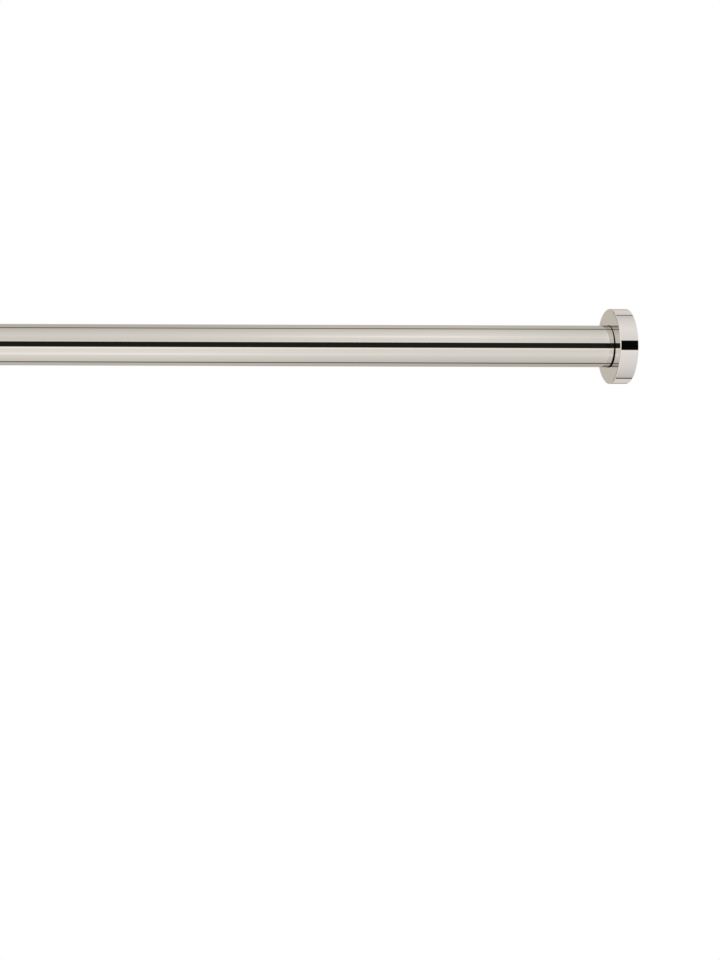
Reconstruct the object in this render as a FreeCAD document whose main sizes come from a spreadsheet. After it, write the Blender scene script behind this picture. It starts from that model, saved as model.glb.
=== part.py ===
import FreeCAD, Part
import math
import os

import Sketcher

# A spring tension rod: two telescoping polished tubes, held between two walls by an inner spring.
# The rod lies along X. The origin is the centre of the right wall face, and the rod runs towards -X.
# Millimetres throughout, +Z up.

# Driving dimensions, each written once. Pieces that fit together read the same values.
SIZES = {
    # The rod from wall to wall: its shortest length, and how far it is drawn out from that
    "shortest_length": 610.0,
    "drawn_out": 101.0,
    # The two tubes. Their lengths follow from the shortest length
    "outer_tube_diameter": 25.4,
    "outer_tube_wall": 0.8,
    "inner_tube_diameter": 22.2,
    "inner_tube_wall": 0.7,
    # Clearances: what turns or slides, what is pressed or screwed in, the free lock, two moving faces,
    # and what is left at the shortest length between the bush and the left flange, the bar and the plug
    "running_gap": 0.05,
    "fixed_gap": 0.03,
    "collar_gap": 0.15,
    "seat_gap": 0.3,
    "closed_flange_gap": 4.2,
    "closed_bar_gap": 5.0,
    # The rubber pad inside the flange, and the steel foot that it is bonded to: a disc with a stud
    "pad_flange_gap": 1.75,
    "pad_thickness": 3.0,
    "pad_overhang": 1.5,
    "foot_thickness": 2.5,
    "stud_diameter": 6.0,
    "stud_length": 14.0,
    # The moulded plug in each tube end. Its wide shoulder carries the flange
    "plug_shoulder": 2.5,
    "plug_length": 22.0,
    # The decorative flange
    "flange_diameter": 45.7,
    "flange_depth": 10.5,
    "flange_wall": 1.5,
    "flange_edge_break": 0.5,
    "flange_standoff": 1.25,
    "flange_hole_gap": 0.2,
    # The bearing bush at the mouth of the outer tube
    "bush_length": 18.0,
    "bush_collar_thickness": 1.8,
    # The square bar that twists the lock and carries the spring
    "bar_width": 7.0,
    "bar_end_diameter": 5.0,
    "shoulder_diameter": 15.0,
    "shoulder_thickness": 3.0,
    "thread_diameter": 7.0,
    # The split collar, and the cone drawn into it
    "collar_length": 16.0,
    "collar_base": 4.0,
    "collar_small_radius": 6.4,
    "collar_large_radius": 9.4,
    "collar_slot_width": 1.6,
    "collar_slot_count": 3,
    "collar_slot_start": 5.0,
    "cone_inset": 1.5,
    "cone_head": 4.0,
    "cone_gap": 0.1,
    "cone_key_start": 9.5,
    "cone_key_inset": 0.5,
    "cone_travel": 3.0,
    "stop_nut_width": 11.0,
    "stop_nut_thickness": 5.0,
    # The guide plug in the inner tube's end, its working stroke and the spring behind it
    "spring_stroke": 28.0,
    "stroke_margin": 1.0,
    "guide_flange_thickness": 3.0,
    "guide_spigot_length": 14.0,
    "spring_washer_diameter": 19.4,
    "spring_washer_thickness": 1.5,
    "bar_nut_width": 8.0,
    "bar_nut_thickness": 4.0,
    "bar_tip_length": 1.0,
    "spring_length": 80.0,
    "spring_wire_diameter": 2.0,
    "spring_mean_diameter": 15.8,
    "spring_coils": 10,
    "stop_plug_length": 12.0,
    "stop_pilot_length": 5.0,
    "pilot_gap": 0.5,
}

# The spring is wound in straight steps: the steps in one coil, and the sides of the wire's section
COIL_STEPS = 10
WIRE_SIDES = 6

FULL_TURN = 360
HALF_TURN = 180
ORIGIN_PLANES = {"front": "XZ_Plane", "end": "YZ_Plane"}

# What a sketch calls its axes, its origin and the points of a line or circle
H_AXIS_INDEX = -1
V_AXIS_INDEX = -2
ROOT_INDEX = -1
START_INDEX = 1
END_INDEX = 2
CENTRE_INDEX = 3

doc = FreeCAD.newDocument("spring_tension_rod")
sheet = doc.addObject("Spreadsheet::Sheet", "sizes")
sub_parts = []


class Size:
    """A length that keeps, beside its number, the spreadsheet expression it comes from."""

    def __init__(self, number, text):
        self.number = float(number)
        self.text = text

    def _with(self, other, sign, number):
        return Size(number, f"({self.text} {sign} {as_size(other).text})")

    def __add__(self, other):
        return self._with(other, "+", self.number + as_size(other).number)

    def __sub__(self, other):
        return self._with(other, "-", self.number - as_size(other).number)

    def __mul__(self, other):
        return self._with(other, "*", self.number * as_size(other).number)

    def __truediv__(self, other):
        return self._with(other, "/", self.number / as_size(other).number)

    def __neg__(self):
        return Size(-self.number, f"(0 - {self.text})")


def as_size(value):
    return value if isinstance(value, Size) else Size(value, repr(float(value)))


def fill_sheet():
    """Writes one row for each driving dimension: its name, its number and its alias."""
    for row, (alias, number) in enumerate(SIZES.items(), start=1):
        sheet.set(f"A{row}", alias)
        sheet.set(f"B{row}", str(number))
        sheet.setAlias(f"B{row}", alias)
    doc.recompute()


def cell(alias):
    return Size(sheet.get(alias), f"sizes.{alias}")


def new_body(label):
    """Starts one sub-part. Its label is the name of its file."""
    body = doc.addObject("PartDesign::Body", label)
    body.Label = label
    sub_parts.append(body)
    return body


def place(body, station, turned=False):
    """Puts a sub-part at its station along X. A turned one faces the left wall."""
    if turned:
        body.Placement = FreeCAD.Placement(
            FreeCAD.Vector(0, 0, 0), FreeCAD.Rotation(FreeCAD.Vector(0, 0, 1), HALF_TURN))
    body.setExpression("Placement.Base.x", station.text)


def new_sketch(body, label, plane, offset=None):
    """Starts a sketch on one of the body's own planes, moved along its normal by the offset."""
    sketch = body.newObject("Sketcher::SketchObject", label)
    role = ORIGIN_PLANES[plane]
    support = next(item for item in body.Origin.OriginFeatures if item.Role == role)
    sketch.AttachmentSupport = [(support, "")]
    sketch.MapMode = "FlatFace"
    if offset is not None:
        sketch.setExpression("AttachmentOffset.Base.z", offset.text)
    return sketch


def bind(sketch, constraint_parts, size):
    """Adds one measured constraint and binds it to the size's expression."""
    index = sketch.addConstraint(Sketcher.Constraint(*constraint_parts, size.number))
    sketch.setExpression(f"Constraints[{index}]", size.text)


def hold_point(sketch, geometry, point, x_size, y_size):
    """Ties one point of a sketch to the sketch's origin, both ways."""
    for kind, axis, size in (("DistanceX", V_AXIS_INDEX, x_size), ("DistanceY", H_AXIS_INDEX, y_size)):
        if size.number == 0:
            sketch.addConstraint(Sketcher.Constraint("PointOnObject", geometry, point, axis))
        else:
            bind(sketch, (kind, ROOT_INDEX, START_INDEX, geometry, point), size)


def draw_outline(sketch, points):
    """Draws a closed outline of straight lines through the given points."""
    points = [(as_size(x), as_size(y)) for x, y in points]
    first = sketch.GeometryCount
    count = len(points)
    corners = [FreeCAD.Vector(x.number, y.number, 0) for x, y in points]
    for index in range(count):
        sketch.addGeometry(Part.LineSegment(corners[index], corners[(index + 1) % count]), False)
    for index, (x_size, y_size) in enumerate(points):
        line = first + index
        following = first + (index + 1) % count
        sketch.addConstraint(Sketcher.Constraint("Coincident", line, END_INDEX, following, START_INDEX))
        hold_point(sketch, line, START_INDEX, x_size, y_size)


def draw_circle(sketch, x_size, y_size, radius):
    index = sketch.GeometryCount
    centre = FreeCAD.Vector(x_size.number, y_size.number, 0)
    sketch.addGeometry(Part.Circle(centre, FreeCAD.Vector(0, 0, 1), radius.number), False)
    hold_point(sketch, index, CENTRE_INDEX, x_size, y_size)
    bind(sketch, ("Radius", index), radius)


def draw_box(sketch, low_x, high_x, half_height):
    """Draws a rectangle between two places along the sketch's X, centred on that axis."""
    draw_outline(sketch, [(low_x, -half_height), (high_x, -half_height),
                          (high_x, half_height), (low_x, half_height)])


def draw_hexagon(sketch, width):
    """Draws a hexagon of the given width across its flats."""
    flat = width / 2
    corner = width / math.sqrt(3)
    side = corner / 2
    draw_outline(sketch, [(corner, as_size(0)), (side, flat), (-side, flat),
                          (-corner, as_size(0)), (-side, -flat), (side, -flat)])


def revolve(body, points):
    """Turns an outline of (place along X, radius) points round the X axis."""
    sketch = new_sketch(body, f"{body.Label}_profile", "front")
    draw_outline(sketch, points)
    turned = body.newObject("PartDesign::Revolution", f"{body.Label}_turned")
    turned.Profile = sketch
    turned.ReferenceAxis = (sketch, ["H_Axis"])
    turned.Angle = FULL_TURN
    doc.recompute()
    return turned


def extrude(body, sketch, length, towards_left):
    """Pads a sketch by a length, to the left or to the right."""
    padded = body.newObject("PartDesign::Pad", f"{sketch.Label}_pad")
    padded.Profile = sketch
    padded.setExpression("Length", length.text)
    padded.Reversed = towards_left
    doc.recompute()
    return padded


def cut(body, sketch, length, towards_left):
    """Pockets a sketch by a length, to the left or to the right."""
    pocket = body.newObject("PartDesign::Pocket", f"{sketch.Label}_cut")
    pocket.Profile = sketch
    pocket.Type = "Length"
    pocket.setExpression("Length", length.text)
    pocket.Reversed = not towards_left
    doc.recompute()
    return pocket


def repeat_round_axis(body, feature, count):
    """Repeats a feature evenly round the X axis."""
    pattern = body.newObject("PartDesign::PolarPattern", f"{feature.Label}_round")
    pattern.Originals = [feature]
    axis = next(item for item in body.Origin.OriginFeatures if item.Role == "X_Axis")
    pattern.Axis = (axis, [""])
    pattern.Angle = FULL_TURN
    pattern.setExpression("Occurrences", count.text)
    body.Tip = pattern
    doc.recompute()
    return pattern


# Places along X in an end's own frame: 0 is the wall face, and the rod runs towards -X
def end_places():
    foot_face = -cell("pad_thickness")
    foot_back = foot_face - cell("foot_thickness")
    return {
        "foot_face": foot_face,
        "foot_back": foot_back,
        "tube_end": foot_back - cell("plug_shoulder"),
        "plug_tip": foot_back - cell("plug_shoulder") - cell("plug_length"),
        "flange_back": -cell("flange_standoff"),
        "flange_face": -(cell("flange_standoff") + cell("flange_depth")),
    }


def flange_bore():
    """The radius inside the flange's wall, which takes the plug's shoulder, the pad and the foot."""
    return cell("flange_diameter") / 2 - cell("flange_wall")


def make_wall_pad(label, station, turned):
    """The rubber pad that meets the wall."""
    body = new_body(label)
    at = end_places()
    radius = flange_bore() - cell("pad_flange_gap")
    revolve(body, [(0, 0), (0, radius), (at["foot_face"], radius), (at["foot_face"], 0)])
    place(body, station, turned)


def make_foot(label, station, turned):
    """The steel foot: a disc behind the pad, and a stud pressed into the plug."""
    body = new_body(label)
    at = end_places()
    disc = flange_bore() - cell("pad_flange_gap") - cell("pad_overhang")
    stud = cell("stud_diameter") / 2
    tip = at["foot_back"] - cell("stud_length")
    revolve(body, [(at["foot_face"], 0), (at["foot_face"], disc), (at["foot_back"], disc),
                   (at["foot_back"], stud), (tip, stud), (tip, 0)])
    place(body, station, turned)


def make_end_plug(label, station, turned, tube_diameter, tube_wall):
    """The moulded plug: a wide shoulder that carries the flange, and a spigot in the tube."""
    body = new_body(label)
    at = end_places()
    shoulder = flange_bore() - cell("fixed_gap")
    fit = tube_diameter / 2 - tube_wall - cell("fixed_gap")
    hole = cell("stud_diameter") / 2 + cell("fixed_gap")
    revolve(body, [(at["foot_back"], hole), (at["foot_back"], shoulder), (at["tube_end"], shoulder),
                   (at["tube_end"], fit), (at["plug_tip"], fit), (at["plug_tip"], hole)])
    place(body, station, turned)


def make_flange(label, station, turned, tube_diameter):
    """The decorative cup: a broken edge round its flat face, and a clearance hole for the tube."""
    body = new_body(label)
    at = end_places()
    outer = cell("flange_diameter") / 2
    inner = flange_bore()
    hole = tube_diameter / 2 + cell("flange_hole_gap")
    edge = cell("flange_edge_break")
    plate_back = at["flange_face"] + cell("flange_wall")
    revolve(body, [
        (at["flange_back"], inner), (at["flange_back"], outer), (at["flange_face"] + edge, outer),
        (at["flange_face"], outer - edge), (at["flange_face"], hole), (plate_back, hole),
        (plate_back, inner),
    ])
    place(body, station, turned)


def make_end(side, station, turned, tube_diameter, tube_wall):
    """All that stands at one end of the rod, from the wall pad to the flange."""
    make_wall_pad(f"wall_pad_{side}", station, turned)
    make_foot(f"foot_{side}", station, turned)
    make_end_plug(f"end_plug_{side}", station, turned, tube_diameter, tube_wall)
    make_flange(f"flange_{side}", station, turned, tube_diameter)


def make_tube(label, station, length, diameter, wall):
    """A drawn tube, cut square. Its frame starts at its right end."""
    body = new_body(label)
    outer = diameter / 2
    inner = outer - wall
    revolve(body, [(0, inner), (0, outer), (-length, outer), (-length, inner)])
    place(body, station)


def make_mouth_bush(station):
    """The bearing bush: a collar over the outer tube's mouth. Its frame starts at the mouth."""
    body = new_body("mouth_bush")
    outer = cell("outer_tube_diameter") / 2
    fit = outer - cell("outer_tube_wall") - cell("fixed_gap")
    bore = cell("inner_tube_diameter") / 2 + cell("running_gap")
    left = -cell("bush_collar_thickness")
    right = cell("bush_length")
    revolve(body, [(left, bore), (left, outer), (0, outer), (0, fit), (right, fit), (right, bore)])
    place(body, station)


def make_guide_plug(station):
    """The plug in the inner tube's end. Its flange runs in the outer tube, its square hole on the bar."""
    body = new_body("guide_plug")
    flange = cell("outer_tube_diameter") / 2 - cell("outer_tube_wall") - cell("running_gap")
    fit = cell("inner_tube_diameter") / 2 - cell("inner_tube_wall") - cell("fixed_gap")
    right = cell("guide_flange_thickness")
    left = -cell("guide_spigot_length")
    revolve(body, [(right, 0), (right, flange), (0, flange), (0, fit), (left, fit), (left, 0)])
    hole = new_sketch(body, "guide_plug_hole", "end", right)
    half = cell("bar_width") / 2 + cell("running_gap")
    draw_box(hole, -half, half, half)
    cut(body, hole, right - left, towards_left=True)
    place(body, station)


def make_stop_plug(station):
    """The plug that the spring pushes on, with a pilot inside the coils."""
    body = new_body("stop_plug")
    fit = cell("inner_tube_diameter") / 2 - cell("inner_tube_wall") - cell("fixed_gap")
    pilot = (cell("spring_mean_diameter") - cell("spring_wire_diameter")) / 2 - cell("pilot_gap")
    right = cell("stop_pilot_length")
    left = -cell("stop_plug_length")
    revolve(body, [(right, 0), (right, pilot), (0, pilot), (0, fit), (left, fit), (left, 0)])
    place(body, station)


# Places along X in the lock's frame: 0 is the collar's left face, and the cone enters from the right
def lock_places():
    shoulder_right = -cell("seat_gap")
    shoulder_left = shoulder_right - cell("shoulder_thickness")
    guide_right = shoulder_left - cell("stroke_margin") - cell("spring_stroke")
    guide_left = guide_right - cell("guide_flange_thickness") - cell("guide_spigot_length")
    spring_washer_right = guide_left - cell("seat_gap")
    spring_washer_left = spring_washer_right - cell("spring_washer_thickness")
    mouth = cell("collar_length")
    head_left = mouth + cell("cone_travel")
    head_right = head_left + cell("cone_head")
    nut_left = head_right + cell("seat_gap")
    nut_right = nut_left + cell("stop_nut_thickness")
    return {
        "shoulder_right": shoulder_right,
        "shoulder_left": shoulder_left,
        "inner_tube_end": guide_right - cell("guide_flange_thickness"),
        "spring_washer_right": spring_washer_right,
        "spring_washer_left": spring_washer_left,
        "bar_nut_left": spring_washer_left - cell("bar_nut_thickness"),
        "mouth": mouth,
        "head_left": head_left,
        "head_right": head_right,
        "nut_right": nut_right,
        "thread_tip": nut_right + cell("bar_tip_length"),
    }


def collar_bore(place_along):
    """The radius of the collar's tapered bore at a place between its base and its mouth."""
    base = cell("collar_base")
    rise = cell("collar_large_radius") - cell("collar_small_radius")
    return cell("collar_small_radius") + rise * (place_along - base) / (cell("collar_length") - base)


def make_lock_collar(station):
    """The split collar: a base on the bar, a tapered bore, and slots that let its fingers spread."""
    body = new_body("lock_collar")
    at = lock_places()
    outer = cell("outer_tube_diameter") / 2 - cell("outer_tube_wall") - cell("collar_gap")
    hole = cell("thread_diameter") / 2 + cell("running_gap")
    base = cell("collar_base")
    revolve(body, [(0, hole), (0, outer), (at["mouth"], outer), (at["mouth"], cell("collar_large_radius")),
                   (base, cell("collar_small_radius")), (base, hole)])
    slot = new_sketch(body, "lock_collar_slot", "end", at["mouth"])
    draw_box(slot, as_size(0), outer + base, cell("collar_slot_width") / 2)
    first = cut(body, slot, at["mouth"] - cell("collar_slot_start"), towards_left=True)
    repeat_round_axis(body, first, cell("collar_slot_count"))
    place(body, station)


def make_lock_cone(station):
    """The cone, modelled drawn back by its travel. Its keys ride in the collar's slots."""
    body = new_body("lock_cone")
    at = lock_places()
    hole = cell("thread_diameter") / 2 + cell("running_gap")
    left = cell("collar_base") + cell("cone_travel") + cell("cone_inset")
    tip_radius = collar_bore(left - cell("cone_travel")) - cell("cone_gap")
    head_radius = cell("collar_large_radius") - cell("cone_gap")
    revolve(body, [(left, hole), (left, tip_radius), (at["head_left"], head_radius),
                   (at["head_right"], head_radius), (at["head_right"], hole)])
    key = new_sketch(body, "lock_cone_key", "end", at["head_right"])
    outer = cell("outer_tube_diameter") / 2 - cell("outer_tube_wall") - cell("cone_key_inset")
    draw_box(key, (hole + tip_radius) / 2, outer, cell("collar_slot_width") / 2 - cell("cone_gap"))
    rib = extrude(body, key, at["head_right"] - cell("cone_key_start"), towards_left=True)
    repeat_round_axis(body, rib, cell("collar_slot_count"))
    place(body, station)


def make_drive_bar(station):
    """The bar: a threaded end for the cone, a shoulder, a square for the guide, a round end for the nut."""
    body = new_body("drive_bar")
    at = lock_places()
    thread = cell("thread_diameter") / 2
    end = cell("bar_end_diameter") / 2
    shoulder = cell("shoulder_diameter") / 2
    end_tip = at["bar_nut_left"] - cell("bar_tip_length")
    revolve(body, [
        (at["thread_tip"], 0), (at["thread_tip"], thread), (at["shoulder_right"], thread),
        (at["shoulder_right"], shoulder), (at["shoulder_left"], shoulder), (at["shoulder_left"], end),
        (end_tip, end), (end_tip, 0),
    ])
    square = new_sketch(body, "drive_bar_square", "end", at["shoulder_left"])
    half = cell("bar_width") / 2
    draw_box(square, -half, half, half)
    extrude(body, square, at["shoulder_left"] - at["spring_washer_right"], towards_left=True)
    place(body, station)


def make_nut(label, station, right, thickness, width, thread_diameter):
    """A hexagon nut, threaded on the bar."""
    body = new_body(label)
    outline = new_sketch(body, f"{label}_outline", "end", right)
    draw_hexagon(outline, width)
    draw_circle(outline, as_size(0), as_size(0), thread_diameter / 2 + cell("fixed_gap"))
    extrude(body, outline, thickness, towards_left=True)
    place(body, station)


def make_washer(label, station, right, thickness, bore_diameter, diameter):
    """A plain washer on the bar."""
    body = new_body(label)
    bore = bore_diameter / 2 + cell("fixed_gap")
    left = right - thickness
    revolve(body, [(right, bore), (right, diameter / 2), (left, diameter / 2), (left, bore)])
    place(body, station)


def coil_point(step, steps, mean, length):
    """A point of the spring's centre line: one of its straight steps round and along X."""
    angle = step * 2 * math.pi / COIL_STEPS
    return FreeCAD.Vector(length * step / steps, mean * math.sin(angle), mean * math.cos(angle))


def coil_section(step, steps, mean, length, wire):
    """The wire's section at a step: a closed outline across the coil's mean direction there."""
    middle = coil_point(step, steps, mean, length)
    outward = FreeCAD.Vector(0, middle.y, middle.z).normalize()
    heading = coil_point(step + 1, steps, mean, length) - coil_point(step - 1, steps, mean, length)
    across = heading.cross(outward).normalize()
    corners = []
    for side in range(WIRE_SIDES + 1):
        angle = side * 2 * math.pi / WIRE_SIDES
        corners.append(middle + outward * (wire * math.cos(angle)) + across * (wire * math.sin(angle)))
    return corners


def make_tension_spring(station):
    """The spring between its washer and the stop plug, wound round X, its two ends ground flat."""
    wire = sheet.get("spring_wire_diameter") / 2
    mean = sheet.get("spring_mean_diameter") / 2
    length = sheet.get("spring_length")
    steps = round(sheet.get("spring_coils") * COIL_STEPS)
    spare = COIL_STEPS // 4
    sections = [coil_section(step, steps, mean, length, wire) for step in range(-spare, steps + spare + 1)]
    faces = [Part.Face(Part.makePolygon(sections[0])), Part.Face(Part.makePolygon(sections[-1]))]
    for first, second in zip(sections, sections[1:]):
        for side in range(WIRE_SIDES):
            low, high = first[side], first[side + 1]
            far_low, far_high = second[side], second[side + 1]
            faces.append(Part.Face(Part.makePolygon([low, high, far_high, low])))
            faces.append(Part.Face(Part.makePolygon([low, far_high, far_low, low])))
    wound = Part.Solid(Part.Shell(faces))
    box_side = (mean + wire * 2) * 2
    span = Part.makeBox(length, box_side, box_side, FreeCAD.Vector(0, -box_side / 2, -box_side / 2))
    spring = doc.addObject("Part::Feature", "tension_spring")
    spring.Label = "tension_spring"
    spring.Shape = wound.common(span)
    sub_parts.append(spring)
    place(spring, station)


def build_rod():
    """Places every sub-part. The right end's frame is the rod's own."""
    lock = lock_places()
    end = end_places()
    shortest = cell("shortest_length")
    wall_right = as_size(0)
    wall_left = -(shortest + cell("drawn_out"))

    # At the shortest length, with the spring pressed home, the left flange stops short of the bush
    closed_flange = end["flange_face"] - cell("closed_flange_gap") - cell("spring_stroke")
    outer_length = shortest + closed_flange - cell("bush_collar_thickness") + end["tube_end"]
    outer_end = end["tube_end"]
    mouth = outer_end - outer_length

    # At the shortest length, the bar stops short of the right end's plug
    bar_reach = lock["thread_tip"] - lock["inner_tube_end"]
    inner_length = shortest + end["plug_tip"] - cell("closed_bar_gap") - bar_reach + end["tube_end"]
    inner_end = wall_left - end["tube_end"] + inner_length
    lock_station = inner_end - lock["inner_tube_end"]
    spring_right = lock_station + lock["spring_washer_left"] - cell("seat_gap")
    spring_left = spring_right - cell("spring_length")

    outer_tube = cell("outer_tube_diameter"), cell("outer_tube_wall")
    inner_tube = cell("inner_tube_diameter"), cell("inner_tube_wall")

    make_tube("outer_tube", outer_end, outer_length, *outer_tube)
    make_mouth_bush(mouth)
    make_end("right", wall_right, False, *outer_tube)
    make_lock_collar(lock_station)
    make_lock_cone(lock_station)
    make_drive_bar(lock_station)
    make_nut("stop_nut", lock_station, lock["nut_right"], cell("stop_nut_thickness"),
             cell("stop_nut_width"), cell("thread_diameter"))
    make_washer("spring_washer", lock_station, lock["spring_washer_right"],
                cell("spring_washer_thickness"), cell("bar_end_diameter"), cell("spring_washer_diameter"))
    make_nut("bar_nut", lock_station, lock["spring_washer_left"], cell("bar_nut_thickness"),
             cell("bar_nut_width"), cell("bar_end_diameter"))
    make_guide_plug(inner_end)
    make_tension_spring(spring_left)
    make_stop_plug(spring_left)
    make_tube("inner_tube", inner_end, inner_length, *inner_tube)
    make_end("left", wall_left, True, *inner_tube)


def write_parts():
    """Checks every object, then writes one file for each sub-part."""
    doc.recompute()
    for item in doc.Objects:
        if {"Invalid", "Error"} & set(item.State):
            raise RuntimeError(f"{item.Label} did not compute")
    os.makedirs("parts", exist_ok=True)
    for body in sub_parts:
        if body.Shape.isNull() or not body.Shape.isValid():
            raise RuntimeError(f"{body.Label} has no valid shape")
        body.Shape.exportStep(os.path.join("parts", f"{body.Label}.step"))


fill_sheet()
build_rod()
write_parts()
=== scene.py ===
import math

import bmesh
import bpy
from mathutils import Matrix, Vector


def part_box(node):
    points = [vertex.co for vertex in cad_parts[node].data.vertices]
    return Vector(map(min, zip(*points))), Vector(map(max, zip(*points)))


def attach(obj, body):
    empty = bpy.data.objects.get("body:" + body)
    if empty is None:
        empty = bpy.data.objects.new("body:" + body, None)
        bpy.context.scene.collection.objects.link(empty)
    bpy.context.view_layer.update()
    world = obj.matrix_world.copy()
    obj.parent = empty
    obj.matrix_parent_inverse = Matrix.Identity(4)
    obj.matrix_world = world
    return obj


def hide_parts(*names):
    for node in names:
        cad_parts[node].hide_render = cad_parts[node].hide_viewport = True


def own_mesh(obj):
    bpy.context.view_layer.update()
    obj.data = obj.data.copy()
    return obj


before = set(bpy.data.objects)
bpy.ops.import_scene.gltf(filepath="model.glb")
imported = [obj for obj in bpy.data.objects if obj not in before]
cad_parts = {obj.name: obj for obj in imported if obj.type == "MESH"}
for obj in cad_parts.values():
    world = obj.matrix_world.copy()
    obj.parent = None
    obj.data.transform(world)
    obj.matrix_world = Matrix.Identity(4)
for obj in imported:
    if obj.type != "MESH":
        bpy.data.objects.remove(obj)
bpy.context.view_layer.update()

# A spring tension rod in polished nickel. The rod lies along X, and its right wall face is at X = 0.
# Metres throughout, apart from outlines and the sizes of pieces, which are in millimetres.

MM = 0.001
ROUND_STEPS = 192
FILLET_STEPS = 5
FILLET_SHARE = 0.45
SUPPORT = 0.04
HAIR = 0.001


# Outlines and turned meshes
#
# An outline is a closed list of corners: place along X, radius from the axis, and how far the corner is
# rounded. A corner without the third number stays sharp.

def end_frame(points, wall_x, turned):
    """Puts an end's outline, drawn with its wall face at 0 and the rod towards -X, at its wall."""
    side = -1 if turned else 1
    return [(wall_x + side * x, radius, *corner) for x, radius, *corner in points]


def fillet(before, corner, after, radius):
    """The points that round one corner of an outline, with a support point on each side."""
    to_before = (before - corner).normalized()
    to_after = (after - corner).normalized()
    opening = to_before.angle(to_after)
    room = min((before - corner).length, (after - corner).length) * FILLET_SHARE
    reach = min(radius / math.tan(opening / 2), room)
    bisector = (to_before + to_after).normalized()
    centre = corner + bisector * (reach * math.tan(opening / 2) / math.sin(opening / 2))
    start = corner + to_before * reach
    finish = corner + to_after * reach
    spoke = start - centre
    sweep = spoke.angle_signed(finish - centre)
    arc = []
    for step in range(FILLET_STEPS + 1):
        turn = -sweep * step / FILLET_STEPS
        arc.append(centre + Matrix.Rotation(turn, 2) @ spoke)
    return [start + to_before * SUPPORT, *arc, finish + to_after * SUPPORT]


def rounded(points):
    """An outline's points after rounding, each with whether it is a sharp corner."""
    corners = [Vector(point[:2]) for point in points]
    outline = []
    for index, (_, _, *rounding) in enumerate(points):
        if rounding:
            before, after = corners[index - 1], corners[(index + 1) % len(points)]
            outline += [(spot, False) for spot in fillet(before, corners[index], after, *rounding)]
        else:
            outline.append((corners[index], True))
    return outline


def turn_round_axis(name, points):
    """Turns a closed outline round the X axis. A corner that isn't rounded keeps a crisp edge."""
    outline = rounded(points)
    mesh = bmesh.new()
    rings = []
    for spot, _ in outline:
        along, radius = spot.x * MM, spot.y * MM
        if radius < HAIR * MM:
            rings.append([mesh.verts.new((along, 0, 0))] * ROUND_STEPS)
            continue
        ring = []
        for step in range(ROUND_STEPS):
            angle = step * math.tau / ROUND_STEPS
            ring.append(mesh.verts.new((along, radius * math.sin(angle), radius * math.cos(angle))))
        rings.append(ring)
    for ring, following in zip(rings, rings[1:] + rings[:1]):
        for step in range(ROUND_STEPS):
            after = (step + 1) % ROUND_STEPS
            corners = []
            for vertex in (ring[step], ring[after], following[after], following[step]):
                if vertex not in corners:
                    corners.append(vertex)
            if len(corners) > 2:
                mesh.faces.new(corners).smooth = True
    for ring, (_, sharp) in zip(rings, outline):
        if sharp and ring[0] is not ring[1]:
            for step in range(ROUND_STEPS):
                mesh.edges.get((ring[step], ring[(step + 1) % ROUND_STEPS])).smooth = False
    return finish_mesh(name, mesh)


def finish_mesh(name, mesh):
    """Makes an object from a bmesh, with its faces turned outwards."""
    bmesh.ops.recalc_face_normals(mesh, faces=mesh.faces)
    data = bpy.data.meshes.new(name)
    mesh.to_mesh(data)
    mesh.free()
    piece = bpy.data.objects.new(name, data)
    bpy.context.scene.collection.objects.link(piece)
    return piece


def dress(piece, node, body, material):
    """Gives a piece its material, and puts it in the place of its node."""
    piece.data.materials.append(material)
    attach(piece, body)
    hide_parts(node)


# Materials

def hex_colour(text):
    """An sRGB hex value as linear red, green, blue and alpha."""
    channels = []
    for start in (1, 3, 5):
        value = int(text[start:start + 2], 16) / 255
        channels.append(value / 12.92 if value <= 0.04045 else ((value + 0.055) / 1.055) ** 2.4)
    return (*channels, 1.0)


def add_node(tree, kind, inputs=None, stops=None, **settings):
    """Adds one node with its settings and the stops of its ramp, and fills its sockets.

    A socket takes a value, or a link from another socket or from a node's first output.
    """
    made = tree.nodes.new(kind)
    for name, value in settings.items():
        setattr(made, name, value)
    if stops:
        ramp = made.color_ramp.elements
        ramp.remove(ramp[-1])
        for index, (position, colour) in enumerate(stops):
            stop = ramp.new(position) if index else ramp[0]
            stop.position, stop.color = position, colour
    for socket, value in (inputs or {}).items():
        if isinstance(value, bpy.types.Node):
            value = value.outputs[0]
        if isinstance(value, bpy.types.NodeSocket):
            tree.links.new(value, made.inputs[socket])
        else:
            made.inputs[socket].default_value = value
    return made


def new_material(name):
    """A new material and its empty node tree."""
    material = bpy.data.materials.new(name)
    material.use_nodes = True
    material.node_tree.nodes.clear()
    return material, material.node_tree


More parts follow.
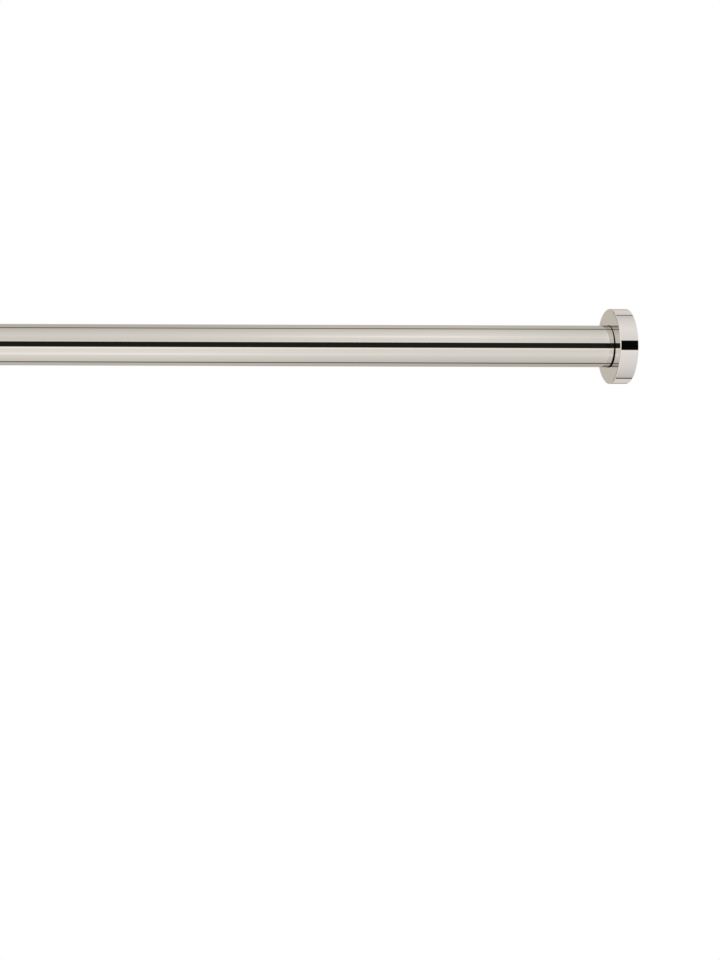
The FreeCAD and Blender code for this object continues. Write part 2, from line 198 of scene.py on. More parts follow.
def polished_nickel(name, grain_stretch):
    """Nickel plate over buffed steel: a warm mirror. The buffing leaves a haze of fine hairlines."""
    # Buffing hairlines are about 0.05 mm wide; 0.3 mm is the finest that shows at arm's length
    hair_width, hair_height = 0.3 * MM, 0.0001 * MM
    # The base metal is slowly wavy under the plate
    wave_width, wave_height = 9 * MM, 0.004 * MM
    material, tree = new_material(name)
    place = add_node(tree, "ShaderNodeTexCoord").outputs["Object"]
    stretched = add_node(tree, "ShaderNodeMapping", {
        "Vector": place, "Scale": tuple(value / hair_width for value in grain_stretch)})
    hairs = add_node(tree, "ShaderNodeTexNoise", {
        "Vector": stretched, "Scale": 1.0, "Detail": 2.0, "Roughness": 0.6})
    waves = add_node(tree, "ShaderNodeTexNoise", {
        "Vector": place, "Scale": 1 / wave_width, "Detail": 1.0, "Roughness": 0.4})
    haze = add_node(tree, "ShaderNodeMapRange", {
        "Value": hairs, "From Min": 0.3, "From Max": 0.75, "To Min": 0.012, "To Max": 0.035})
    wavy = add_node(tree, "ShaderNodeBump", {
        "Height": waves, "Strength": 1.0, "Distance": wave_height})
    buffed = add_node(tree, "ShaderNodeBump", {
        "Height": hairs, "Normal": wavy, "Strength": 1.0, "Distance": hair_height})
    shader = add_node(tree, "ShaderNodeBsdfPrincipled", {
        "Base Color": hex_colour("#E6E0DB"), "Metallic": 1.0, "Specular Tint": hex_colour("#F7F1E8"),
        "Roughness": haze, "Normal": buffed})
    add_node(tree, "ShaderNodeOutputMaterial", {"Surface": shader})
    return material


def zinc_plated_steel(name):
    """Bright zinc on turned steel: a cool satin grey with a faint cloudy bloom."""
    bloom_width = 3 * MM
    material, tree = new_material(name)
    place = add_node(tree, "ShaderNodeTexCoord").outputs["Object"]
    bloom = add_node(tree, "ShaderNodeTexNoise", {
        "Vector": place, "Scale": 1 / bloom_width, "Detail": 4.0, "Roughness": 0.55})
    colour = add_node(tree, "ShaderNodeValToRGB", {"Fac": bloom}, stops=[
        (0.3, hex_colour("#A3A6A8")), (0.7, hex_colour("#BFC1C2"))])
    satin = add_node(tree, "ShaderNodeMapRange", {"Value": bloom, "To Min": 0.28, "To Max": 0.42})
    shader = add_node(tree, "ShaderNodeBsdfPrincipled", {
        "Base Color": colour, "Metallic": 1.0, "Roughness": satin})
    add_node(tree, "ShaderNodeOutputMaterial", {"Surface": shader})
    return material


def drawn_spring_wire(name):
    """Oiled music wire: dark grey, with a broken sheen from the drawing die."""
    die_mark_width = 0.5 * MM
    material, tree = new_material(name)
    place = add_node(tree, "ShaderNodeTexCoord").outputs["Object"]
    die_marks = add_node(tree, "ShaderNodeTexNoise", {
        "Vector": place, "Scale": 1 / die_mark_width, "Detail": 3.0, "Roughness": 0.6})
    sheen = add_node(tree, "ShaderNodeMapRange", {"Value": die_marks, "To Min": 0.25, "To Max": 0.45})
    shader = add_node(tree, "ShaderNodeBsdfPrincipled", {
        "Base Color": hex_colour("#7D7F82"), "Metallic": 1.0, "Roughness": sheen})
    add_node(tree, "ShaderNodeOutputMaterial", {"Surface": shader})
    return material


def moulded_rubber(name):
    """Pale moulded rubber: matte and faintly cloudy, with the fine bite of a spark-eroded mould."""
    grain_width, grain_height = 0.4 * MM, 0.004 * MM
    bloom_width = 7 * MM
    material, tree = new_material(name)
    place = add_node(tree, "ShaderNodeTexCoord").outputs["Object"]
    grain = add_node(tree, "ShaderNodeTexNoise", {
        "Vector": place, "Scale": 1 / grain_width, "Detail": 2.0, "Roughness": 0.5})
    bloom = add_node(tree, "ShaderNodeTexNoise", {
        "Vector": place, "Scale": 1 / bloom_width, "Detail": 3.0, "Roughness": 0.6})
    colour = add_node(tree, "ShaderNodeValToRGB", {"Fac": bloom}, stops=[
        (0.35, hex_colour("#DAD9D4")), (0.65, hex_colour("#E3E2DE"))])
    relief = add_node(tree, "ShaderNodeBump", {
        "Height": grain, "Strength": 0.5, "Distance": grain_height})
    shader = add_node(tree, "ShaderNodeBsdfPrincipled", {
        "Base Color": colour, "Roughness": 0.75, "IOR": 1.52, "Normal": relief})
    add_node(tree, "ShaderNodeOutputMaterial", {"Surface": shader})
    return material


def black_foam(name):
    """Soft black foam rubber: it swallows the light, and its open cells give it a fine dull grain."""
    cell_width, cell_depth = 0.15 * MM, 0.02 * MM
    material, tree = new_material(name)
    place = add_node(tree, "ShaderNodeTexCoord").outputs["Object"]
    cells = add_node(tree, "ShaderNodeTexVoronoi", {"Vector": place, "Scale": 1 / cell_width})
    relief = add_node(tree, "ShaderNodeBump", {
        "Height": cells, "Strength": 0.5, "Distance": cell_depth})
    shader = add_node(tree, "ShaderNodeBsdfPrincipled", {
        "Base Color": hex_colour("#0B0B0B"), "Roughness": 0.9, "Specular IOR Level": 0.1,
        "Normal": relief})
    add_node(tree, "ShaderNodeOutputMaterial", {"Surface": shader})
    return material


def moulded_plastic(name, dark, light, roughness, ior):
    """Injection-moulded plastic: even colour, soft gloss, and the faint flow marks of the mould."""
    flow_width = 5 * MM
    grain_width, grain_height = 0.35 * MM, 0.01 * MM
    material, tree = new_material(name)
    place = add_node(tree, "ShaderNodeTexCoord").outputs["Object"]
    flow = add_node(tree, "ShaderNodeTexNoise", {
        "Vector": place, "Scale": 1 / flow_width, "Detail": 2.0, "Roughness": 0.5})
    grain = add_node(tree, "ShaderNodeTexNoise", {
        "Vector": place, "Scale": 1 / grain_width, "Detail": 1.0, "Roughness": 0.5})
    colour = add_node(tree, "ShaderNodeValToRGB", {"Fac": flow}, stops=[
        (0.3, hex_colour(dark)), (0.7, hex_colour(light))])
    relief = add_node(tree, "ShaderNodeBump", {
        "Height": grain, "Strength": 0.3, "Distance": grain_height})
    shader = add_node(tree, "ShaderNodeBsdfPrincipled", {
        "Base Color": colour, "Roughness": roughness, "IOR": ior, "Normal": relief})
    add_node(tree, "ShaderNodeOutputMaterial", {"Surface": shader})
    return material


# The tubes are buffed along the rod, and the flanges round their rims
tube_nickel = polished_nickel("polished_nickel_tube", grain_stretch=(0.02, 1.0, 1.0))
flange_nickel = polished_nickel("polished_nickel_flange", grain_stretch=(1.0, 0.12, 1.0))
plated_steel = zinc_plated_steel("zinc_plated_steel")
spring_wire = drawn_spring_wire("drawn_spring_wire")
pad_rubber = moulded_rubber("moulded_pad_rubber")
# The liner's black also stands in as painted shade for the shadowed gap round the tube
liner_foam_and_gap_shade = black_foam("black_foam_rubber")
bush_nylon = moulded_plastic("moulded_nylon", "#E4E3DF", "#ECEBE7", roughness=0.38, ior=1.53)
plug_abs = moulded_plastic("moulded_black_abs", "#141415", "#1B1B1C", roughness=0.45, ior=1.54)
lock_acetal = moulded_plastic("moulded_grey_acetal", "#8C8F93", "#969A9D", roughness=0.35, ior=1.48)


# Sizes of the pieces that show. Their places and outer radii come from the frame

def node_span(node):
    """A node's lowest and highest place along X, in millimetres, drawn in by a hair at each end."""
    low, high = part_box(node)
    return low[0] / MM + HAIR, high[0] / MM - HAIR


def node_radius(node):
    """A round node's largest radius, in millimetres, drawn in by a hair."""
    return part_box(node)[1][2] / MM - HAIR


TUBE_WALL = 0.8
INNER_WALL = 0.7
OUTER_RADIUS = node_radius("outer_tube")
OUTER_BORE = OUTER_RADIUS - TUBE_WALL
INNER_RADIUS = node_radius("inner_tube")
INNER_BORE = INNER_RADIUS - INNER_WALL
TUBE_END_BREAK = 0.25
TUBE_BORE_BREAK = 0.1

FLANGE_WALL = 1.5
FLANGE_RADIUS = node_radius("flange_right")
FLANGE_BORE = FLANGE_RADIUS - FLANGE_WALL
FLANGE_FACE, FLANGE_BACK = node_span("flange_right")
PLATE_BACK = FLANGE_FACE + FLANGE_WALL
FLANGE_HOLE_GAP = 0.2
FLANGE_CHAMFER = 0.5
FLANGE_CHAMFER_BREAK = 0.1
FLANGE_FACE_ROUNDING = 0.7
FLANGE_BACK_BREAK = 0.2
FLANGE_MOUTH_BREAK = 0.25
FLANGE_CUP_ROUNDING = 0.6
FLANGE_HOLE_BREAK = 0.06
FLANGE_HOLE_ROLL = 0.15

LINER_GAP = 0.01
LINER_LIP = 0.48
LINER_LIP_BREAK = 0.08
# How far the liner's lip stands out further at the bottom: painted shade for the darker bottom of the gap
LINER_SHADE_SAG = 0.24

PAD_RADIUS = node_radius("wall_pad_right")
PAD_THICKNESS = 3.0
PAD_RIM_ROUNDING = 0.7
PAD_BACK_BREAK = 0.3
GROOVE_RADII = (5.0, 10.0, 15.0)
GROOVE_DEPTH = 0.8
GROOVE_HALF_MOUTH = 1.3
GROOVE_HALF_FLOOR = 0.9
GROOVE_BREAK = 0.2

BUSH_RUNNING_GAP = 0.05
BUSH_SEAT_GAP = 0.03
BUSH_RIM_ROUNDING = 0.6
BUSH_LEAD_IN = 0.3
BUSH_SHOULDER_BREAK = 0.1
BUSH_TAIL_BREAK = 0.2

WIRE_RADIUS = 1.0
COIL_RADIUS = 7.9
COIL_TURNS = 10
COIL_STEPS = 48
WIRE_SIDES = 16


# Pieces that show

def make_tube(node, radius, bore, body):
    """A drawn tube with softly broken ends."""
    low, high = node_span(node)
    tube = turn_round_axis(f"{node}_polished", [
        (high, bore, TUBE_BORE_BREAK), (high, radius, TUBE_END_BREAK),
        (low, radius, TUBE_END_BREAK), (low, bore, TUBE_BORE_BREAK)])
    dress(tube, node, body, tube_nickel)


def make_flange(side, wall_x, turned, tube_radius, body):
    """The spun cup: a flat polished face with a chamfered rim, and a rolled edge at its hole."""
    hole = tube_radius + FLANGE_HOLE_GAP
    points = [
        (FLANGE_BACK, FLANGE_BORE, FLANGE_MOUTH_BREAK),
        (FLANGE_BACK, FLANGE_RADIUS, FLANGE_BACK_BREAK),
        (FLANGE_FACE + FLANGE_CHAMFER, FLANGE_RADIUS, FLANGE_CHAMFER_BREAK),
        (FLANGE_FACE, FLANGE_RADIUS - FLANGE_CHAMFER, FLANGE_FACE_ROUNDING),
        (FLANGE_FACE, hole, FLANGE_HOLE_BREAK),
        (PLATE_BACK, hole, FLANGE_HOLE_ROLL),
        (PLATE_BACK, FLANGE_BORE, FLANGE_CUP_ROUNDING),
    ]
    flange = turn_round_axis(f"flange_{side}_polished", end_frame(points, wall_x, turned))
    dress(flange, f"flange_{side}", body, flange_nickel)


def make_hole_liner(side, wall_x, turned, tube_radius, body):
    """The thin black liner that keeps the flange's hole off the tube. Its black lip shows as a dark ring,
    which also stands in as painted shade for the shadow in the gap round the tube.

    The lip stands out further at the bottom as painted shade, for the gap being darker and wider at the
    bottom, where less light falls.
    """
    inner = tube_radius + LINER_GAP
    outer = tube_radius + FLANGE_HOLE_GAP - LINER_GAP
    lip = FLANGE_FACE - LINER_LIP
    points = [(PLATE_BACK, inner), (PLATE_BACK, outer), (lip, outer, LINER_LIP_BREAK), (lip, inner)]
    liner = turn_round_axis(f"hole_liner_{side}", end_frame(points, wall_x, turned))
    face = end_frame([(FLANGE_FACE, 0)], wall_x, turned)[0][0] * MM
    outwards = 1 if turned else -1
    # Pushes the lip out more towards the bottom: painted shade
    for vertex in liner.data.vertices:
        if (vertex.co.x - face) * outwards > 0:
            vertex.co.x -= outwards * LINER_SHADE_SAG * MM * vertex.co.z / (outer * MM)
    liner.data.materials.append(liner_foam_and_gap_shade)
    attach(liner, body)


def make_wall_pad(side, turned, body):
    """The rubber pad: a soft rim, and three grooves between the rings that grip the wall."""
    low, high = node_span(f"wall_pad_{side}")
    points = [(0.0, 0.0)]
    for radius in GROOVE_RADII:
        points += [
            (0.0, radius - GROOVE_HALF_MOUTH, GROOVE_BREAK),
            (-GROOVE_DEPTH, radius - GROOVE_HALF_FLOOR, GROOVE_BREAK),
            (-GROOVE_DEPTH, radius + GROOVE_HALF_FLOOR, GROOVE_BREAK),
            (0.0, radius + GROOVE_HALF_MOUTH, GROOVE_BREAK),
        ]
    points += [
        (0.0, PAD_RADIUS, PAD_RIM_ROUNDING),
        (-PAD_THICKNESS, PAD_RADIUS, PAD_BACK_BREAK),
        (-PAD_THICKNESS, 0.0),
    ]
    outline = end_frame(points, low if turned else high, turned)
    pad = turn_round_axis(f"wall_pad_{side}_moulded", outline)
    dress(pad, f"wall_pad_{side}", body, pad_rubber)


def make_mouth_bush():
    """The bearing bush: a soft-edged collar over the tube's mouth, with a lead-in to its bore."""
    low, high = node_span("mouth_bush")
    mouth = node_span("outer_tube")[0]
    bore = INNER_RADIUS + BUSH_RUNNING_GAP
    seat = OUTER_BORE - BUSH_SEAT_GAP
    bush = turn_round_axis("mouth_bush_moulded", [
        (low, bore, BUSH_LEAD_IN), (low, OUTER_RADIUS, BUSH_RIM_ROUNDING),
        (mouth, OUTER_RADIUS, BUSH_SHOULDER_BREAK), (mouth, seat),
        (high, seat, BUSH_TAIL_BREAK), (high, bore, BUSH_TAIL_BREAK)])
    dress(bush, "mouth_bush", "outer_assembly", bush_nylon)


def make_spring():
    """The compression spring: a smooth helix of round wire whose end turns are ground flat."""
    low, high = node_span("tension_spring")
    mesh = bmesh.new()
    rings = []
    steps = COIL_TURNS * COIL_STEPS
    for step in range(steps + 1):
        angle = step * math.tau / COIL_STEPS
        outward = Vector((0, math.sin(angle), math.cos(angle)))
        along = low + (high - low) * step / steps
        middle = outward * COIL_RADIUS + Vector((along, 0, 0))
        ring = []
        for side in range(WIRE_SIDES):
            turn = side * math.tau / WIRE_SIDES
            spot = (middle + outward * (WIRE_RADIUS * math.cos(turn))
                    + Vector((WIRE_RADIUS * math.sin(turn), 0, 0)))
            spot.x = min(max(spot.x, low), high)
            ring.append(mesh.verts.new(spot * MM))
        rings.append(ring)
    for ring, following in zip(rings, rings[1:]):
        for side in range(WIRE_SIDES):
            after = (side + 1) % WIRE_SIDES
            mesh.faces.new((ring[side], ring[after], following[after], following[side])).smooth = True
    mesh.faces.new(rings[0])
    mesh.faces.new(rings[-1])
    spring = finish_mesh("tension_spring_wound", mesh)
    dress(spring, "tension_spring", "inner_assembly", spring_wire)
    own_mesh(spring)


right_wall = 0.0
left_wall = node_span("wall_pad_left")[0]
make_tube("outer_tube", OUTER_RADIUS, OUTER_BORE, "outer_assembly")
make_tube("inner_tube", INNER_RADIUS, INNER_BORE, "inner_assembly")
make_flange("right", right_wall, False, OUTER_RADIUS, "outer_assembly")
make_flange("left", left_wall, True, INNER_RADIUS, "inner_assembly")
make_hole_liner("right", right_wall, False, OUTER_RADIUS, "outer_assembly")
make_hole_liner("left", left_wall, True, INNER_RADIUS, "inner_assembly")
make_wall_pad("right", False, "outer_assembly")
make_wall_pad("left", True, "inner_assembly")
make_mouth_bush()
make_spring()

# Pieces that stay as the solids are, each with its own finish

CARRIED_OVER = {
    "end_plug_right": plug_abs, "end_plug_left": plug_abs,
    "foot_right": plated_steel, "foot_left": plated_steel,
    "lock_collar": bush_nylon, "lock_cone": lock_acetal,
    "drive_bar": plated_steel, "stop_nut": plated_steel, "bar_nut": plated_steel,
    "spring_washer": plated_steel, "guide_plug": bush_nylon, "stop_plug": lock_acetal,
}
for node, material in CARRIED_OVER.items():
    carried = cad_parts[node]
    carried.data.materials.clear()
    carried.data.materials.append(material)


# The studio: a white room, two long soft panels with a dark gap between them, and a pale floor
#
# The levels are what polished metal mirrors. A turn is 0 degrees at the front, on the camera's side, and
# 180 behind, the same above and below the rod. A place across is the X part of a direction: below 0 is to
# the left.

PANEL_WHITE = (1.0, 1.0, 0.957)
NEUTRAL_WHITE = (1.0, 1.0, 1.0)
LAMP_WHITE = (1.0, 1.06, 1.45)
GAP_BROWN = (1.3, 1.0, 0.2)

# Levels of the two panels by turn: the dark gap at the front, the panel, its far edge, and the wall past it
UPPER_PANEL = [
    (0, 0.017), (17.7, 0.017), (19, 0.9), (22, 0.885), (26, 0.84), (30, 0.84), (52, 0.9), (75, 0.82),
    (98, 0.7), (105.5, 0.59), (106, 0.05, GAP_BROWN), (112, 0.05, GAP_BROWN), (112.5, 0.63), (140, 0.635)]
LOWER_PANEL = [
    (0, 0.017), (10.2, 0.017), (11.4, 1.06), (15, 1.04), (19, 0.97), (25, 0.84), (31, 0.91), (37, 0.89),
    (43, 0.89), (54, 0.87), (62, 0.83), (98, 0.69), (105.2, 0.61), (105.7, 0.04, GAP_BROWN),
    (113, 0.04, GAP_BROWN), (113.5, 0.58), (140, 0.58)]

# Each panel is brightest off centre: the upper one to the right, the lower one to the left
UPPER_ACROSS = [(-0.36, 0.89), (-0.24, 0.915), (-0.05, 0.987), (0.15, 1.02), (0.25, 0.95), (0.297, 0.93)]
LOWER_ACROSS = [(-0.36, 1.03), (-0.24, 1.02), (-0.05, 0.98), (0.15, 0.945), (0.25, 0.926), (0.297, 0.92)]

# A lamp behind each panel shows as a faint cool streak along it, on the side where the panel is brightest
UPPER_STREAK = [(43, 0), (49, 0.13), (53, 0.13), (60, 0)]
LOWER_STREAK = [(38, 0), (44, 0.05), (48.5, 0.17), (54, 0.1), (59, 0)]
UPPER_STREAK_ACROSS = [(-0.15, 0), (0.0, 0.8), (0.07, 1.0), (0.12, 0.9), (0.17, 0.35), (0.25, 0.1)]
LOWER_STREAK_ACROSS = [
    (-0.41, 0.8), (-0.36, 0.9), (-0.27, 1.0), (-0.22, 0.9), (-0.12, 0.45), (0.2, 0.15)]

# The panels' right ends stand nearer: the gap there is deeper, and the wall past them is bright
UPPER_END = [
    (0, 0.0025), (17.3, 0.0025), (18.6, 0.86), (31, 0.88), (54, 0.945), (78, 0.86), (101, 0.735),
    (108.7, 0.61), (109.1, 0.05), (112.3, 0.05), (112.7, 0.84)]
LOWER_END = [
    (0, 0.0025), (10.3, 0.0025), (11.5, 0.98), (16, 0.97), (20, 0.92), (45, 0.873), (71, 0.795),
    (102, 0.67), (111.9, 0.55), (112.4, 0.03), (117.2, 0.03), (117.7, 0.84)]
RIGHT_END_ACROSS = (0.297, 0.31)

# The wall straight behind has a long dim shelf, from a little left of the middle on. Heights go from 0 to 1
BACK_WALL = (0.645, 0.645, 0.617, 1)
BACK_WALL_TURNS = (146, 156)
SHELF_HEIGHTS = [(0.32, 1.0), (0.35, 0.4), (0.44, 0.45), (0.49, 0.6), (0.52, 0.95), (0.6, 1.0)]
SHELF_START_ACROSS = (-0.2, -0.1)

# A third panel at the far left, beside the rod, is bright and unbroken, and dim on its far side
LEFT_PANEL = [
    (60, 0.88), (68, 0.98), (88, 1.0), (104, 0.85), (111, 0.78), (130, 0.8), (138, 0.7), (146, 0.12),
    (180, 0.08)]
LEFT_PANEL_ACROSS = (-0.42, -0.48)
LEFT_PANEL_TURNS = (55, 70)

# The panels end short of the rod's own line. Past them the room is bright, and the shelf goes on
END_WALL = (1.03, 1.03, 0.985, 1)
END_WALL_SIDEWAYS = (0.86, 0.92)
SHELF_START_BACK = -0.22

# Light mirrored twice, between the tube and the flange's face, starts out a little cooler, and towards the
# back it is darkened:
# painted shade, the dark line where the tube's edge meets the flange. The camera's own look is the first
# step of a ray
TWICE_MIRRORED_DEPTH = 2.5
TWICE_MIRRORED_TINT = (1.045, 1.105, 1.18, 1)
TWICE_MIRRORED_SHADE = 0.72
TWICE_MIRRORED_SHADE_TURNS = (120, 150)

# All that isn't mirrored is lit at one even level
EVEN_LEVEL = 0.62
WHITE = (1, 1, 1, 1)
BLACK = (0, 0, 0, 1)


def tinted(level, tint):
    """One light level as a colour."""
    return (*(level * channel for channel in tint), 1)


def by_turn(levels, tint):
    """Light levels by turn, as the stops of a ramp over half a turn. A level can have its own tint."""
    return [(degrees / 180, tinted(level, own[0] if own else tint)) for degrees, level, *own in levels]


def by_place(levels):
    """Light levels by place across, from -0.5 to 0.5, as the stops of a ramp."""
    return [(place + 0.5, tinted(level, NEUTRAL_WHITE)) for place, level in levels]


def above_and_below(tree, above, along, upper_stops, lower_stops):
    """One run of light for directions above the rod, and another for those below it."""
    upper = add_node(tree, "ShaderNodeValToRGB", {"Fac": along}, stops=upper_stops)
    lower = add_node(tree, "ShaderNodeValToRGB", {"Fac": along}, stops=lower_stops)
    return add_node(tree, "ShaderNodeMixRGB", {"Fac": above, "Color1": lower, "Color2": upper})


def turn_from_front(tree, y, z):
    """The turn from the front to a direction, as a share of 180 degrees."""
    forward = add_node(tree, "ShaderNodeMath", {0: y, 1: -1.0}, operation="MULTIPLY")
    height = add_node(tree, "ShaderNodeMath", {0: z}, operation="ABSOLUTE")
    angle = add_node(tree, "ShaderNodeMath", {0: height, 1: forward}, operation="ARCTAN2")
    return add_node(tree, "ShaderNodeMath", {0: angle, 1: 1 / math.pi}, operation="MULTIPLY")


def long_panels(tree, x, z, turn):
    """The two long panels with their streaks, their nearer right ends, and the wall past them."""
    above = add_node(tree, "ShaderNodeMath", {0: z, 1: 0.0}, operation="GREATER_THAN")
    across = add_node(tree, "ShaderNodeMath", {0: x, 1: 0.5}, operation="ADD")
    panels = above_and_below(tree, above, turn, by_turn(UPPER_PANEL, PANEL_WHITE),
                             by_turn(LOWER_PANEL, PANEL_WHITE))
    fall = above_and_below(tree, above, across, by_place(UPPER_ACROSS), by_place(LOWER_ACROSS))
    lit = add_node(tree, "ShaderNodeMixRGB", {
        "Fac": 1.0, "Color1": panels, "Color2": fall}, blend_type="MULTIPLY")
    streak = above_and_below(tree, above, turn, by_turn(UPPER_STREAK, LAMP_WHITE),
                             by_turn(LOWER_STREAK, LAMP_WHITE))
    reach = above_and_below(tree, above, across, by_place(UPPER_STREAK_ACROSS),
                            by_place(LOWER_STREAK_ACROSS))
    streaked = add_node(tree, "ShaderNodeMixRGB", {
        "Fac": reach, "Color1": lit, "Color2": streak}, blend_type="ADD")
    ends = above_and_below(tree, above, turn, by_turn(UPPER_END, NEUTRAL_WHITE),
                           by_turn(LOWER_END, NEUTRAL_WHITE))
    at_right = add_node(tree, "ShaderNodeMapRange", {
        "Value": x, "From Min": RIGHT_END_ACROSS[0], "From Max": RIGHT_END_ACROSS[1]})
    return add_node(tree, "ShaderNodeMixRGB", {"Fac": at_right, "Color1": streaked, "Color2": ends})


def room_round_panels(tree, x, y, z, turn, panels):
    """The wall and shelf behind the panels, the panel at the left, and the room past the rod's ends."""
    height = add_node(tree, "ShaderNodeMath", {0: z, 1: 0.5, 2: 0.5}, operation="MULTIPLY_ADD")
    shelf = add_node(tree, "ShaderNodeValToRGB", {"Fac": height}, stops=[
        (place, tinted(level, NEUTRAL_WHITE)) for place, level in SHELF_HEIGHTS])
    along_shelf = add_node(tree, "ShaderNodeMapRange", {
        "Value": x, "From Min": SHELF_START_ACROSS[0], "From Max": SHELF_START_ACROSS[1]})
    back_wall = add_node(tree, "ShaderNodeMixRGB", {
        "Fac": along_shelf, "Color1": BACK_WALL, "Color2": shelf}, blend_type="MULTIPLY")
    far_round = add_node(tree, "ShaderNodeMapRange", {
        "Value": turn, "From Min": BACK_WALL_TURNS[0] / 180, "From Max": BACK_WALL_TURNS[1] / 180})
    front_and_back = add_node(tree, "ShaderNodeMixRGB", {
        "Fac": far_round, "Color1": panels, "Color2": back_wall})

    left_panel = add_node(tree, "ShaderNodeValToRGB", {"Fac": turn}, stops=by_turn(LEFT_PANEL, PANEL_WHITE))
    far_left = add_node(tree, "ShaderNodeMapRange", {
        "Value": x, "From Min": LEFT_PANEL_ACROSS[0], "From Max": LEFT_PANEL_ACROSS[1]})
    beside = add_node(tree, "ShaderNodeMapRange", {
        "Value": turn, "From Min": LEFT_PANEL_TURNS[0] / 180, "From Max": LEFT_PANEL_TURNS[1] / 180})
    on_left = add_node(tree, "ShaderNodeMath", {0: far_left, 1: beside}, operation="MULTIPLY")
    three_sides = add_node(tree, "ShaderNodeMixRGB", {
        "Fac": on_left, "Color1": front_and_back, "Color2": left_panel})

    behind = add_node(tree, "ShaderNodeMath", {0: y, 1: SHELF_START_BACK}, operation="GREATER_THAN")
    end_wall = add_node(tree, "ShaderNodeMixRGB", {
        "Fac": behind, "Color1": END_WALL, "Color2": shelf}, blend_type="MULTIPLY")
    sideways = add_node(tree, "ShaderNodeMath", {0: x}, operation="ABSOLUTE")
    past = add_node(tree, "ShaderNodeMapRange", {
        "Value": sideways, "From Min": END_WALL_SIDEWAYS[0], "From Max": END_WALL_SIDEWAYS[1]})
    return add_node(tree, "ShaderNodeMixRGB", {"Fac": past, "Color1": three_sides, "Color2": end_wall})


def mirrored_room(tree, seen, turn, room):
    """The room as the metal shows it, with light that was mirrored twice cooled, and darkened towards the
    back as painted shade where the tube meets the flange.
    """
    twice = add_node(tree, "ShaderNodeMath", {
        0: seen.outputs["Ray Depth"], 1: TWICE_MIRRORED_DEPTH}, operation="GREATER_THAN")
    cooled = add_node(tree, "ShaderNodeMixRGB", {
        "Fac": twice, "Color1": room, "Color2": TWICE_MIRRORED_TINT}, blend_type="MULTIPLY")
    # Towards the back, twice-mirrored light goes dark: painted shade at the tube's joint with the flange
    corner = add_node(tree, "ShaderNodeMapRange", {
        "Value": turn, "From Min": TWICE_MIRRORED_SHADE_TURNS[0] / 180, "From Max": TWICE_MIRRORED_SHADE_TURNS[1] / 180,
        "To Max": TWICE_MIRRORED_SHADE})
    dimmed = add_node(tree, "ShaderNodeMath", {0: twice, 1: corner}, operation="MULTIPLY")
    return add_node(tree, "ShaderNodeMixRGB", {"Fac": dimmed, "Color1": cooled, "Color2": BLACK})


def light_room():
    """White to the camera. The metal mirrors the room, and all else gets an even soft light."""
    world = bpy.data.worlds.new("studio")
    bpy.context.scene.world = world
    world.use_nodes = True
    tree = world.node_tree
    tree.nodes.clear()
    direction = add_node(tree, "ShaderNodeTexCoord")
    x, y, z = add_node(tree, "ShaderNodeSeparateXYZ", {"Vector": direction.outputs["Generated"]}).outputs
    turn = turn_from_front(tree, y, z)
    room = room_round_panels(tree, x, y, z, turn, long_panels(tree, x, z, turn))
    seen = add_node(tree, "ShaderNodeLightPath")
    mirrored = add_node(tree, "ShaderNodeBackground", {
        "Color": mirrored_room(tree, seen, turn, room), "Strength": 1.0})
    even = add_node(tree, "ShaderNodeBackground", {
        "Color": tinted(EVEN_LEVEL, NEUTRAL_WHITE), "Strength": 1.0})
    white = add_node(tree, "ShaderNodeBackground", {"Color": WHITE, "Strength": 1.0})
    on_pieces = add_node(tree, "ShaderNodeMixShader", {
        0: seen.outputs["Is Glossy Ray"], 1: even, 2: mirrored})
    straight = add_node(tree, "ShaderNodeMath", {
        0: seen.outputs["Is Camera Ray"], 1: seen.outputs["Is Transmission Ray"]}, operation="MAXIMUM")
    shown = add_node(tree, "ShaderNodeMixShader", {0: straight, 1: on_pieces, 2: white})
    add_node(tree, "ShaderNodeOutputWorld", {"Surface": shown})


def add_softbox(name, spot, target, size, power):
    """A square soft lamp that lights the plastics and the floor. The metal doesn't show it."""
    light = bpy.data.lights.new(name, "AREA")
    light.shape = "SQUARE"
    light.size = size
    light.energy = power
    lamp = bpy.data.objects.new(name, light)
    lamp.location = spot
    lamp.rotation_euler = (Vector(target) - Vector(spot)).to_track_quat("-Z", "Y").to_euler()
    lamp.visible_glossy = False
    bpy.context.scene.collection.objects.link(lamp)


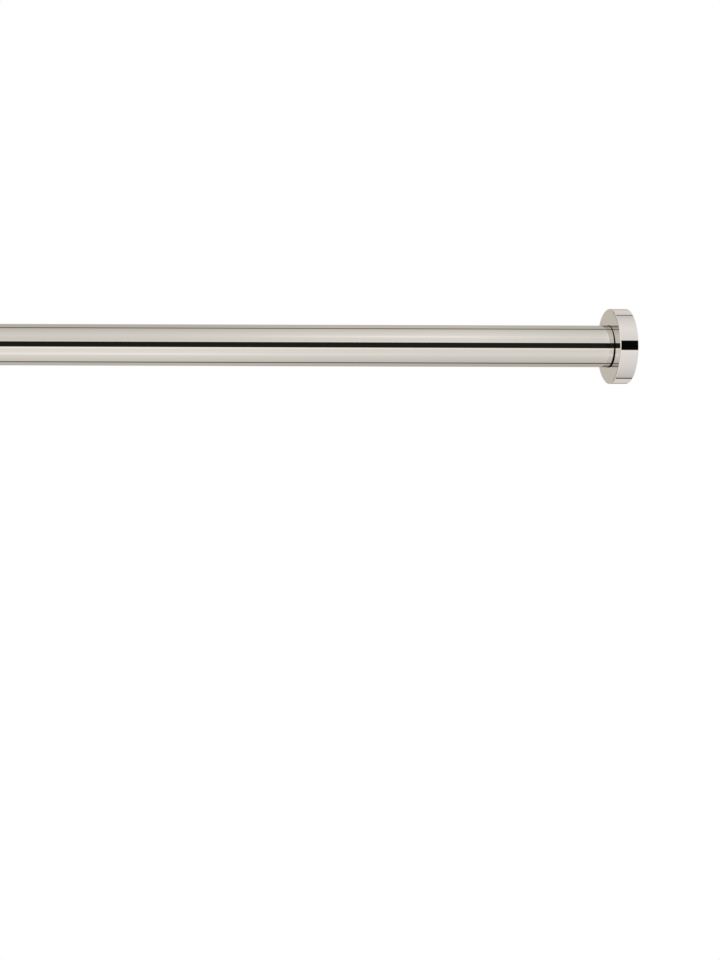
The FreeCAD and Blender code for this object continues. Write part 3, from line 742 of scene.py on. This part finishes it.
FLOOR_REACH = 40.0
FLOOR_LEVEL = -1.9


def lay_floor():
    """A pale floor, far below the rod, that reads plain white to the camera."""
    mesh = bmesh.new()
    mesh.faces.new([
        mesh.verts.new((x * FLOOR_REACH, y * FLOOR_REACH, FLOOR_LEVEL))
        for x, y in ((-1, -1), (1, -1), (1, 1), (-1, 1))])
    floor = finish_mesh("studio_floor", mesh)
    material, tree = new_material("painted_floor")
    matte = add_node(tree, "ShaderNodeBsdfDiffuse", {"Color": hex_colour("#F2F2F0")})
    glow = add_node(tree, "ShaderNodeEmission", {"Color": WHITE, "Strength": 1.0})
    seen = add_node(tree, "ShaderNodeLightPath")
    shown = add_node(tree, "ShaderNodeMixShader", {0: seen.outputs["Is Camera Ray"], 1: matte, 2: glow})
    add_node(tree, "ShaderNodeOutputMaterial", {"Surface": shown})
    floor.data.materials.append(material)
    floor.visible_glossy = False


PHOTO_HEIGHT = 960
ROD_ABOVE_MIDDLE = 134.35
SENSOR_WIDTH = 36.0
LENS = 29.35
CAMERA_SPOT = (-0.16327, -0.478, 0.0)
CAMERA_ROLL = -0.17


def stand_camera():
    """Level with the rod, square to it, and shifted so that the rod stands above the middle."""
    camera = bpy.data.cameras.new("camera")
    camera.sensor_width = SENSOR_WIDTH
    camera.lens = LENS
    camera.shift_y = -ROD_ABOVE_MIDDLE / PHOTO_HEIGHT
    camera.clip_start = 0.01
    stand = bpy.data.objects.new("camera", camera)
    stand.location = CAMERA_SPOT
    roll = Matrix.Rotation(math.radians(CAMERA_ROLL), 4, "Y")
    level = Matrix.Rotation(math.radians(90), 4, "X")
    stand.rotation_euler = (roll @ level).to_euler()
    bpy.context.scene.collection.objects.link(stand)
    bpy.context.scene.camera = stand


light_room()
add_softbox("key_lamp", spot=(-0.9, -1.2, 1.3), target=(-0.3, 0, 0), size=1.0, power=14)
add_softbox("fill_lamp", spot=(0.9, -0.9, -0.2), target=(-0.2, 0, 0), size=1.2, power=5)
lay_floor()
stand_camera()
bpy.context.scene.view_settings.view_transform = "Standard"
